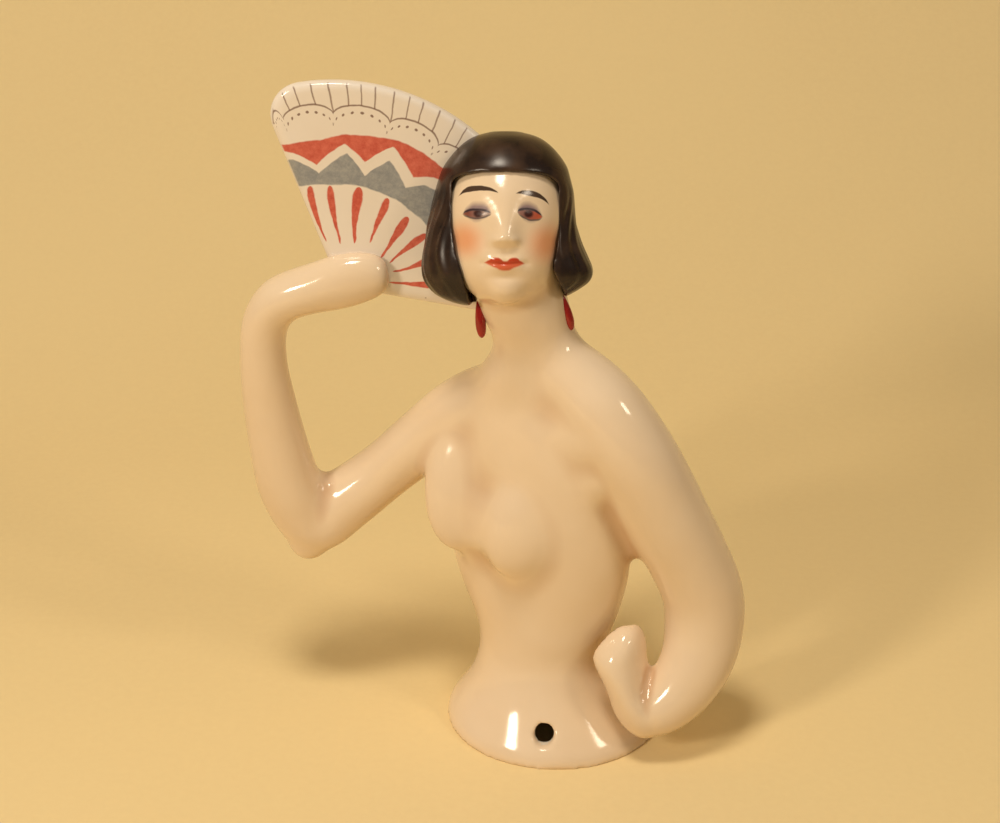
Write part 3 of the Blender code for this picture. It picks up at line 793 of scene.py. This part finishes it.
IRIS_INK = "34130F"
LID_SHADE = "7A6470"
LIP_DARK = "BE3A1C"
LIP_LIGHT = "D4562E"
BLUSH = "EA8A4A"
BLUSH_STRENGTH = 0.64
PUPIL = (0.92, 0.80, 0.55)
LID_SHADE_DROP = 0.75
BRUSH_WOBBLE = 0.9
BRUSH_WOBBLE_WIDTH = 0.10

tree, shader = new_material("painted_porcelain_face", face)
colour = glazed_ground(tree, shader, gloss=(0.14, 0.18))
x, z = by_hand(tree, millimetres(tree, HEAD_CENTRE, HEAD_LEAN), BRUSH_WOBBLE, BRUSH_WOBBLE_WIDTH)
for blush in BLUSHES:
    colour = coat(tree, colour, painted_spot(tree, x, z, *blush, 0.9), BLUSH, BLUSH_STRENGTH)
for upper, lower, iris, shade, outer, inner, (outer_x, inner_x) in EYES:
    sag = LID_SHADE_DROP * (1 - np.abs(np.linspace(-1, 1, len(lower))))
    under = [(place, value - drop) for (place, value), drop in zip(lower, sag.tolist())]
    colour = coat(tree, colour, painted_area(tree, x, z, under, shade, 0.9), LID_SHADE, 0.85)
    side = add(tree, "MapRange", {"Value": x, "From Min": outer_x, "From Max": inner_x})
    opening = painted_area(tree, x, z, lower, upper, 0.12)
    colour = coat(tree, colour, opening, coat(tree, outer, side, inner), 0.9)
    pupil = painted_spot(tree, x, z, iris, *PUPIL)
    seen = add(tree, "Math", {0: pupil, 1: opening}, operation="MULTIPLY")
    colour = coat(tree, colour, seen, IRIS_INK, 0.95)
    for lid, below, above, strength in ((upper, 0.18, 0.34, 0.95), (lower, 0.24, 0.16, 0.8)):
        line = painted_area(tree, x, z, *stroke_lines(lid, below, above), 0.16)
        colour = coat(tree, colour, line, LID_INK, strength)
upper_lip_low = stroke_lines(MOUTH_LINE, 0.12, 0.0)[0]
for low, high, soft, ink, strength in (
    (*brow(RIGHT_BROW), 0.12, BROW_INK, 0.96),
    (*brow(LEFT_BROW), 0.12, BROW_INK, 0.96),
    (LIPS_LOW, LIPS_TOP, 0.30, LIP_LIGHT, 0.93),
    (upper_lip_low, LIPS_TOP, 0.26, LIP_DARK, 0.9),
):
    colour = coat(tree, colour, painted_area(tree, x, z, low, high, soft), ink, strength)
feed(shader, {"Base Color": colour})
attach(face, "root")


# The hair: a glossy brown-black bob with a straight fringe, square at the cheeks and flicked out
# at the ends. It is cast with the head and painted with dark glaze. Shallow strand grooves run down
# the sides.

HAIR_LEVELS = (
    # height in the head's frame, half width to her right and to her left, front depth, back depth
    (-13.4, 3.0, 3.0, 3.0, 3.0), (-13.0, 7.2, 6.4, 4.6, 6.4), (-11.8, 10.4, 9.6, 5.6, 8.8),
    (-10.1, 12.2, 12.6, 6.6, 10.2), (-8.8, 12.8, 13.6, 7.2, 10.9), (-7.4, 13.0, 13.6, 7.5, 11.3),
    (-5.6, 12.9, 12.8, 7.7, 11.6), (-3.0, 12.4, 11.7, 7.8, 11.9), (0.2, 11.9, 10.9, 8.0, 12.0),
    (4.0, 10.9, 10.6, 8.7, 11.7), (6.3, 10.2, 10.0, 8.95, 11.3), (8.0, 9.5, 9.5, 8.55, 10.6),
    (9.7, 8.3, 8.4, 7.6, 9.5), (11.4, 6.7, 6.8, 6.2, 7.8), (12.6, 4.9, 4.9, 4.5, 5.6),
    (13.4, 2.0, 2.0, 1.9, 2.2),
)
FRINGE_EDGE = (
    (-8.5, 5.2), (-8.0, 6.0), (-6.6, 6.7), (-4.6, 7.0), (-2.7, 7.15), (0.0, 7.2), (2.6, 7.1),
    (4.6, 6.9), (6.4, 6.5), (7.7, 5.7), (8.1, 5.2), (8.5, 4.6),
)
CHEEK_EDGES = (
    # height, where the hair ends on her right and on her left, how far behind the middle it starts
    (-14.0, -5.0, 9.6, 5.0), (-12.4, -5.5, 9.4, 5.0), (-11.0, -5.8, 9.0, 4.5), (-9.4, -6.1, 8.0, 3.0),
    (-7.8, -6.4, 7.2, 0.0), (-6.3, -6.9, 7.1, 0.0), (-4.3, -7.4, 7.6, 0.0), (-1.8, -7.8, 7.9, 0.0),
    (1.0, -8.0, 8.0, 0.0), (8.0, -8.0, 8.0, 0.0),
)
STRANDS = 24
STRAND_DEPTH = 0.22
HAIR_STEP = 0.25
EDGE_JOIN = 0.3


def bob_rings(levels, around=360):
    """Ovals with their own half width to each side and depth front and back. In the opening for the
    face, between the cheek edges and below the fringe, they are pushed back inside the head."""
    height, right, left, front, back = np.asarray(levels, float).T[:, :, None]
    across, deep = circle(around)
    x = np.where(across < 0, right, left) * across
    y = np.where(deep > 0, back, front) * deep
    z = height + 0 * x
    cheeks, fringe = np.asarray(CHEEK_EDGES), np.asarray(FRINGE_EDGE)
    first, last, start = (np.interp(z, cheeks[:, 0], cheeks[:, i]) for i in (1, 2, 3))
    within = (x > first) & (x < last) & (z < np.interp(x, fringe[:, 0], fringe[:, 1]))
    return np.stack((x, np.where(within, np.maximum(y, start), y), z), axis=-1)


def strand_depth(points):
    """How deep the comb marks lie: cosines of the angle round the head, bent as they come down, and
    fading out above the fringe. The marks are (1 - cos) waves with two spacings laid over each other."""
    x, y, z = head_place(points).T
    angle = np.arctan2(x, y + 1.0)
    bend = 0.10 * np.sin(0.45 * z) + 0.018 * z
    wave = 0.6 * np.cos(STRANDS * (angle + bend)) + 0.4 * np.cos(1.7 * STRANDS * (angle + 0.6 * bend) + 1.0)
    return STRAND_DEPTH * 0.5 * (1 - wave) * np.clip((6.0 - z) / 5.0, 0, 1) * np.clip((z + 13.0) / 3.0, 0, 1)


hair = closed_skin("hair", in_head_frame(bob_rings(curve_through(HAIR_LEVELS, 10))))
fuse(hair, HAIR_STEP, EDGE_JOIN, 8)
points = points_of(hair)
put_points(hair, points - strand_depth(points)[:, None] * rows_of(hair.data.vertex_normals, "vector"))
keep_hollows(hair)

HAIR_DARK = "261A14"
HAIR_THIN = "57402F"
HAIR_CLOUD = 5.0
HAIR_WAVE = 2.5
HAIR_WAVE_HEIGHT = 0.03

tree, shader = new_material("brown_black_hair_glaze", hair)
place = millimetres(tree, HEAD_CENTRE, HEAD_LEAN)
cloud = add(tree, "TexNoise", {"Vector": place, "Scale": 1 / HAIR_CLOUD, "Detail": 4.0})
thin = add(tree, "MapRange", {"Value": cloud, "From Min": 0.42, "From Max": 0.75, "To Max": 0.7})
feed(shader, {
    "Base Color": coat(tree, HAIR_DARK, thin, HAIR_THIN),
    "Normal": rippled(tree, place, HAIR_WAVE, HAIR_WAVE_HEIGHT, 1.0),
    "Roughness": 0.27,
    "IOR": 1.42,
})
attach(hair, "root")


# The fan: a flat open leaf with rounded corners behind her head, cast in one with the hand.
# It is white glazed porcelain, painted by hand on the front only.

FAN_PIVOT = (-34.8, 3.4, 79.0)
FAN_RADIUS = 33.4
FAN_THICKNESS = 2.6
FAN_CORNER = 5.2
FAN_ANGLES = (-10.5, 109.5)
FAN_EDGE = 0.8
FAN_EDGE_SPAN = 14.0
FAN_STEP = 0.30


def fan_outline(low, high, radius, corner):
    """The leaf's outline about its pivot: two straight sides, two rounded corners and the long arc."""
    reach = radius - corner
    lean = math.asin(corner / reach)
    sweep = np.linspace(0, 1, 15)
    parts = [np.zeros((1, 2))]
    for middle, start in ((low + lean, low - math.pi / 2), (high - lean, high - lean)):
        angle = start + sweep * (math.pi / 2 + lean)
        centre = reach * np.array([math.cos(middle), math.sin(middle)])
        parts.append(centre + corner * np.stack((np.cos(angle), np.sin(angle)), axis=-1))
        if middle == low + lean:
            arc = np.linspace(low + lean, high - lean, 62)[1:-1]
            parts.append(radius * np.stack((np.cos(arc), np.sin(arc)), axis=-1))
    return np.vstack(parts)


low, high = np.radians(FAN_ANGLES)
outline = fan_outline(low, high, FAN_RADIUS, FAN_CORNER)
middle = outline.mean(axis=0)
rows = []
for depth in np.linspace(-1, 1, 13):
    inset = FAN_EDGE * (1 - math.sqrt(1 - depth ** 2))
    flat = middle + (outline - middle) * (1 - inset / FAN_EDGE_SPAN)
    rows.append(np.stack((flat[:, 0], np.full(len(flat), depth * FAN_THICKNESS / 2), flat[:, 1]), axis=-1))
fan = closed_skin("fan", np.array(rows)[::-1] + FAN_PIVOT)
fuse(fan, FAN_STEP, EDGE_JOIN, 8)
keep_hollows(fan)

# The leaf's painting, as (angle from +X in degrees, distance from the pivot in millimetres)
FAN_LIGHT = "F3EADF"
FAN_WARM = "EADCCB"
FAN_RED = "C43A28"
FAN_RED_THIN = "D8604A"
FAN_GREY = "7E8389"
FAN_GREY_THIN = "9A9C9C"
FAN_LINE = "6E4A3C"
CUSPS = (108.0, 105.0, 89.6, 71.9, 55.7, 38.2, 20.6, 3.0, -14.0)
CUSP_RADIUS = 28.3
SCALLOP_RISE = 1.75
LINE_EDGES = (0.20, 0.07)
DOT_RISE = 2.5
DOT_INSET = 1.9
DOTS = 9
DOT_SPACING = 1.2
DOT_EDGES = (0.26, 0.16)
PLEATS = (
    108.0, 103.4, 100.0, 95.5, 90.8, 85.8, 82.1, 78.3, 73.1, 69.0, 65.2, 60.4, 55.7, 52.1,
    47.6, 43.0, 38.8, 34.1, 29.8, 25.2, 21.0, 16.3, 12.0, 7.4, 3.0, -1.6, -6.0, -10.6,
)
PLEAT_SLANT = 0.28
PLEAT_SPACING = 2.4
PLEAT_EDGES = (0.17, 0.06)
RED_LOW = (
    (109.5, 23.7), (105.6, 23.1), (97.3, 20.5), (85.8, 23.7), (76.9, 21.3), (68.4, 25.0), (56.6, 21.9),
    (50.0, 23.9), (41.5, 24.8), (33.5, 21.5), (24.5, 24.7), (16.0, 21.3), (7.0, 24.5), (-1.0, 22.4),
    (-5.0, 24.0), (-11.0, 24.0),
)
RED_HIGH = (
    (109.5, 24.9), (102.3, 24.6), (94.5, 24.5), (89.7, 25.0), (86.2, 25.4), (78.9, 25.6), (73.3, 25.95),
    (67.7, 26.3), (57.8, 26.3), (50.6, 26.1), (40.0, 26.3), (30.0, 25.9), (20.0, 25.9), (8.0, 25.7),
    (-1.0, 25.2), (-5.0, 24.0), (-11.0, 24.0),
)
GREY_HIGH = (
    (109.5, 22.4), (106.3, 22.3), (96.8, 19.3), (84.7, 22.5), (75.9, 19.3), (67.8, 22.9), (56.8, 20.1),
    (51.2, 22.2), (42.0, 23.1), (33.5, 19.8), (24.5, 23.0), (16.0, 19.6), (7.0, 22.8), (-1.0, 20.5),
    (-5.0, 18.5), (-11.0, 18.5),
)
GREY_LOW = (
    (109.5, 17.6), (102.5, 17.5), (91.5, 17.1), (74.4, 17.4), (65.3, 17.3), (57.0, 17.5), (49.4, 17.3),
    (40.5, 17.5), (20.0, 17.4), (-1.0, 17.5), (-5.0, 18.5), (-11.0, 18.5),
)
RED_STROKES = (
    # width, then (distance, angle) from the grey band to the hand
    (1.30, (17.5, 102.7), (14.7, 103.9), (11.0, 103.9), (8.0, 102.0)),
    (1.30, (17.2, 92.5), (13.7, 92.2), (10.7, 90.3), (7.5, 85.5)),
    (1.75, (17.3, 77.4), (14.1, 76.7), (11.0, 75.4), (8.0, 70.0)),
    (1.40, (17.2, 61.5), (14.8, 60.5), (12.1, 59.4), (9.2, 56.3)),
    (1.55, (16.5, 47.0), (13.6, 44.9), (10.9, 41.7), (8.5, 37.6)),
    (1.40, (16.8, 33.2), (13.5, 32.4), (11.1, 31.0), (9.1, 28.5)),
    (1.40, (16.8, 18.6), (12.2, 18.0), (10.5, 17.5), (9.0, 18.9)),
    (1.35, (16.6, 2.4), (11.6, 4.0), (9.5, 6.2), (8.0, 7.5)),
)
STROKE_SHAPE = (
    (0.0, 0.0), (0.03, 0.62), (0.10, 0.9), (0.25, 1.0), (0.5, 0.72), (0.8, 0.36), (0.96, 0.24), (1.0, 0.0),
)
FAN_WOBBLE = 1.6
FAN_WOBBLE_WIDTH = 0.35
BRUSH_MARK = 0.9


def tapered(width, places):
    """The two edges of a brush stroke as (distance, angle) rows: its width at each share of its
    length is looked up in the stroke's shape, and an arc of that width turned to degrees."""
    places = np.asarray(places, float)[::-1]
    shares, wide = np.asarray(STROKE_SHAPE).T
    inner, outer = places[0, 0], places[-1, 0]
    distance = outer + (inner - outer) * shares
    rows = curve_through(places, 6)
    middle = np.interp(distance, rows[:, 0], rows[:, 1])
    half = np.degrees(width / 2 * wide / distance)
    return [np.stack((distance, edge), axis=-1).tolist() for edge in (middle - half, middle + half)]


tree, shader = new_material("painted_porcelain_fan_glaze", fan)
# The leaf's hollows get only a light painted shade
ground = glazed_ground(tree, shader, FAN_LIGHT, FAN_WARM, 0.2)
place = millimetres(tree, FAN_PIVOT)
x, z = by_hand(tree, place, FAN_WOBBLE, FAN_WOBBLE_WIDTH)
turn = add(tree, "Math", {0: z, 1: x}, operation="ARCTAN2")
angle = add(tree, "Math", {0: turn, 1: 180 / math.pi}, operation="MULTIPLY")
flat = add(tree, "CombineXYZ", {"X": x, "Z": z})
radius = add(tree, "VectorMath", {0: flat}, "Value", operation="LENGTH")
brush = add(tree, "TexNoise", {"Vector": place, "Scale": 1 / BRUSH_MARK, "Detail": 4.0, "Roughness": 0.7})
density = add(tree, "MapRange", {"Value": brush, "From Min": 0.35, "From Max": 0.65})
red = coat(tree, FAN_RED, density, FAN_RED_THIN)
grey = coat(tree, FAN_GREY, density, FAN_GREY_THIN)
colour = coat(tree, ground, painted_area(tree, angle, radius, GREY_LOW, GREY_HIGH, 0.22, True), grey, 0.92)
colour = coat(tree, colour, painted_area(tree, angle, radius, RED_LOW, RED_HIGH, 0.22, True), red, 0.94)
for width, *places in RED_STROKES:
    stroke = painted_area(tree, radius, angle, *tapered(width, places), 0.7)
    colour = coat(tree, colour, stroke, red, 0.95)


def inked(tree, under, distance, edges, strength):
    """A thin brown line over the colour under it, where the distance to its middle lies within the
    edges: nought at the outer one, full at the inner one."""
    line = add(tree, "MapRange", {"Value": distance, "From Min": edges[0], "From Max": edges[1]})
    return coat(tree, under, line, FAN_LINE, strength)


# Scallops: half ellipses from cusp to cusp, as (1 - off^2) to the power of a half
scallop = drawn_line(tree, angle, [(cusp, float(i)) for i, cusp in enumerate(CUSPS)], True)
share = add(tree, "Math", {0: scallop}, operation="FRACT")
off = add(tree, "Math", {0: share, 1: 2.0, 2: -1.0}, operation="MULTIPLY_ADD")
square = add(tree, "Math", {0: off, 1: off}, operation="MULTIPLY")
left_over = add(tree, "Math", {0: 1.0, 1: square}, operation="SUBTRACT")
arch = add(tree, "Math", {0: left_over, 1: 0.5}, operation="POWER")
rim_line = add(tree, "Math", {0: arch, 1: SCALLOP_RISE, 2: CUSP_RADIUS}, operation="MULTIPLY_ADD")
beyond = add(tree, "Math", {0: radius, 1: rim_line}, operation="SUBTRACT")
colour = inked(tree, colour, add(tree, "Math", {0: beyond}, operation="ABSOLUTE"), LINE_EDGES, 0.8)

# A dotted line inside each scallop, its dots spread evenly by the arcsine of the way across
dot_line = add(tree, "Math", {0: arch, 1: DOT_RISE, 2: CUSP_RADIUS - DOT_INSET}, operation="MULTIPLY_ADD")
up = add(tree, "Math", {0: radius, 1: dot_line}, operation="SUBTRACT")
swing = add(tree, "Math", {0: off}, operation="ARCSINE")
count = add(tree, "Math", {0: swing, 1: DOTS / math.pi, 2: DOTS / 2}, operation="MULTIPLY_ADD")
within = add(tree, "Math", {0: count}, operation="FRACT")
beside = add(tree, "Math", {0: within, 1: DOT_SPACING, 2: -DOT_SPACING / 2}, operation="MULTIPLY_ADD")
offset = add(tree, "CombineXYZ", {"X": beside, "Y": up})
far = add(tree, "VectorMath", {0: offset}, "Value", operation="LENGTH")
colour = inked(tree, colour, far, DOT_EDGES, 0.85)

# The pleats run from the scallops to the rim, leaning a little
slant = add(tree, "Math", {0: radius, 1: -PLEAT_SLANT, 2: PLEAT_SLANT * FAN_RADIUS}, operation="MULTIPLY_ADD")
leaning = add(tree, "Math", {0: angle, 1: slant})
pleat = drawn_line(tree, leaning, [(turn, float(i)) for i, turn in enumerate(PLEATS)], True)
near = add(tree, "Math", {0: add(tree, "Math", {0: pleat, 1: 0.5})}, operation="FRACT")
gap = add(tree, "Math", {0: add(tree, "Math", {0: near, 1: -0.5})}, operation="ABSOLUTE")
wide = add(tree, "Math", {0: gap, 1: PLEAT_SPACING}, operation="MULTIPLY")
outside = add(tree, "Math", {0: beyond, 1: 0.0}, operation="GREATER_THAN")
pleated = inked(tree, colour, wide, PLEAT_EDGES, 0.72)
colour = coat(tree, colour, outside, pleated)

# Paint lies on the front only
depth = add(tree, "SeparateXYZ", {0: place}, "Y")
front = add(tree, "MapRange", {"Value": depth, "From Min": -0.7, "From Max": -1.0})
feed(shader, {"Base Color": coat(tree, ground, front, colour)})
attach(fan, "root")


# The earrings: two red drops modelled against the neck below the hair.
# They are raised drops of the same casting under a thick red glaze.

EARRINGS = (
    ("right_earring", (-12.7, -3.6, 79.6), (-12.1, -4.2, 73.3), 0.78, 0.9),
    ("left_earring", (0.2, -3.6, 80.6), (1.9, -4.2, 74.6), 0.78, 0.9),
)

EARRING_RED = "B42A20"
EARRING_DARK = "8C1D18"
EARRING_POOL = 2.5

drops = [
    rounded_form(name, bottom, top, half_width, half_depth, heavy=0.35)
    for name, top, bottom, half_width, half_depth in EARRINGS
]
tree, shader = new_material("red_earring_glaze", *drops)
pooled = add(tree, "TexNoise", {"Vector": millimetres(tree), "Scale": 1 / EARRING_POOL, "Detail": 3.0})
feed(shader, {"Base Color": coat(tree, EARRING_RED, pooled, EARRING_DARK), "Roughness": 0.12})
for drop in drops:
    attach(drop, "root")


# The floor: a pale sweep of paper that rises behind the doll, as in a small photograph studio.

SWEEP_START = 100.0
SWEEP_RADIUS = 220.0
SWEEP_FRONT = 900.0
SWEEP_SIDE = 1500.0
SWEEP_TOP = 1100.0
FLOOR_COLOUR = "F5DEA8"
FLOOR_DULL = "ECD29C"
PAPER_FIBRE = 1.5
PAPER_CLOUD = 120.0


def sweep_of_paper():
    """A profile in y and z carried along x: flat, then a quarter round, then upright."""
    flat = np.stack((np.linspace(-SWEEP_FRONT, SWEEP_START, 15), np.zeros(15)), axis=-1)
    bend = np.linspace(0, math.pi / 2, 33)[1:, None]
    round_part = SWEEP_RADIUS * np.hstack((np.sin(bend), 1 - np.cos(bend))) + (SWEEP_START, 0)
    upright = round_part[-1] + np.stack((np.zeros(8), np.linspace(100, SWEEP_TOP, 8)), axis=-1)
    y, z = np.vstack((flat, round_part, upright)).T[:, :, None]
    points = np.stack(np.broadcast_arrays(np.linspace(-SWEEP_SIDE, SWEEP_SIDE, 21), y, z), axis=-1)
    here = np.arange(points.size // 3).reshape(-1, 21)
    quads = np.stack((here[:-1, :-1], here[:-1, 1:], here[1:, 1:], here[1:, :-1]), axis=-1)
    return new_piece("paper_sweep", points.reshape(-1, 3), quads.reshape(-1, 4).tolist())


floor = sweep_of_paper()
tree, shader = new_material("matt_cream_paper", floor)
place = millimetres(tree)
fibres = add(tree, "TexNoise", {"Vector": place, "Scale": 1 / PAPER_FIBRE, "Detail": 6.0})
shade = add(tree, "TexNoise", {"Vector": place, "Scale": 1 / PAPER_CLOUD, "Detail": 2.0})
uneven = add(tree, "Math", {0: fibres, 1: shade}, operation="MULTIPLY")
feed(shader, {
    "Base Color": coat(tree, FLOOR_COLOUR, uneven, FLOOR_DULL),
    "Normal": add(tree, "Bump", {"Height": fibres, "Distance": 0.00003}),
    "Roughness": 0.9,
})


# The light: soft boxes to the left and right in front, a broad one above, and a low even sky.

LIGHTS = (
    # name, place in metres, size in metres, power in watts, colour
    ("left_box", (-0.40, -0.40, 0.34), 0.10, 1.6, "FFEED6"),
    ("right_box", (0.40, -0.26, 0.40), 0.09, 0.45, "FFEED6"),
    ("overhead", (-0.08, -0.16, 0.62), 0.12, 1.55, "FFF2DE"),
)
for name, place, size, power, colour in LIGHTS:
    lamp = bpy.data.lights.new(name, "AREA")
    lamp.size = size
    lamp.energy = power
    lamp.color = linear(colour)[:3]
    held = bpy.data.objects.new(name, lamp)
    bpy.context.scene.collection.objects.link(held)
    aim = np.array([0.0, 0.0, 0.05]) - place
    held.location = place
    held.rotation_euler = (
        math.acos(-aim[2] / np.linalg.norm(aim)), 0.0, math.atan2(aim[0], -aim[1]) + math.pi,
    )
world = bpy.data.worlds.new("even_sky")
world.use_nodes = True
feed(world.node_tree.nodes["Background"], {"Color": "FFF9EE", "Strength": 0.12})
bpy.context.scene.world = world


# The camera stands where the photograph was taken from, in front and a little above.

LENS = 63.9
EYE_PLACE = (0.0008, -0.260, 0.182)
EYE_DOWN = 25.4

camera = bpy.data.cameras.new("camera")
camera.lens = LENS
camera.sensor_width = 36.0
eye = bpy.data.objects.new("camera", camera)
bpy.context.scene.collection.objects.link(eye)
eye.location = EYE_PLACE
eye.rotation_euler = (math.radians(90 - EYE_DOWN), 0.0, 0.0)
bpy.context.scene.camera = eye
bpy.context.scene.view_settings.view_transform = "Standard"
